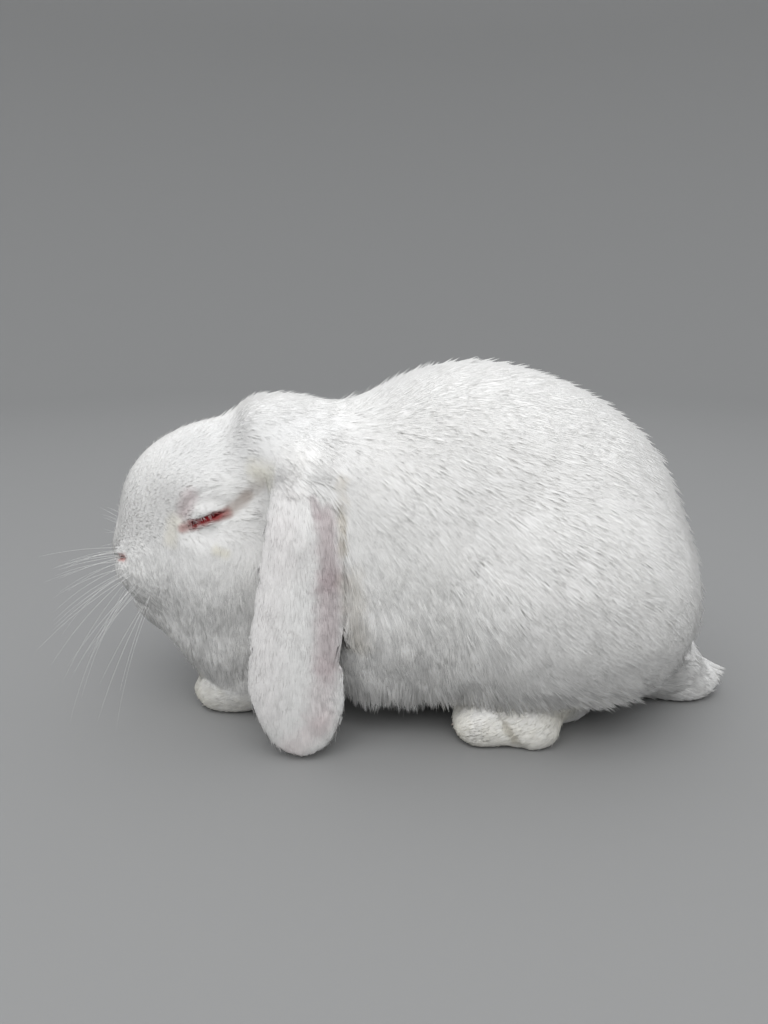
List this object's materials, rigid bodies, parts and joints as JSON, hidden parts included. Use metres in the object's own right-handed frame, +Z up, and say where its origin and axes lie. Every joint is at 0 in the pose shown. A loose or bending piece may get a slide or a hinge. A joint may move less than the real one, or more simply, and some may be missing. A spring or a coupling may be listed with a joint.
{
  "type": "lop rabbit",
  "caption": "White lop-eared rabbit, crouched with its head low and eyes nearly shut, with long ears that hang down beside its cheeks to the floor.",
  "frame": {"origin": "on the floor, under the middle of the animal's bounding box", "axes": "+Z up; -Y is the way the nose points, along the animal's length; +X is the animal's left"},
  "size_m": [0.1344, 0.28, 0.1544],
  "materials": {
    "white_coat": "dense matte plush fur, 8 to 14 mm long",
    "ear_coat": "short silky fur, faintly pink where the skin shows through",
    "foot_coat": "short dense cream fur",
    "ruby_eye": "wet gloss, dark red",
    "claw_horn": "satin horn"
  },
  "bodies": {
    "root": {"head": "white_coat", "neck": "white_coat", "trunk": "white_coat", "thigh_left": "white_coat", "thigh_right": "white_coat", "hind_foot_left": "foot_coat", "hind_foot_right": "foot_coat", "foreleg_left": "foot_coat", "foreleg_right": "foot_coat", "ear_left": "ear_coat", "ear_right": "ear_coat", "eye_left": "ruby_eye", "eye_right": "ruby_eye", "tail": "white_coat", "hind_foot_claw_left_1": "claw_horn", "hind_foot_claw_left_2": "claw_horn", "hind_foot_claw_left_3": "claw_horn", "hind_foot_claw_left_4": "claw_horn", "hind_foot_claw_right_1": "claw_horn", "hind_foot_claw_right_2": "claw_horn", "hind_foot_claw_right_3": "claw_horn", "hind_foot_claw_right_4": "claw_horn", "foreleg_claw_left_1": "claw_horn", "foreleg_claw_left_2": "claw_horn", "foreleg_claw_left_3": "claw_horn", "foreleg_claw_left_4": "claw_horn", "foreleg_claw_right_1": "claw_horn", "foreleg_claw_right_2": "claw_horn", "foreleg_claw_right_3": "claw_horn", "foreleg_claw_right_4": "claw_horn"}
  },
  "joints": []
}
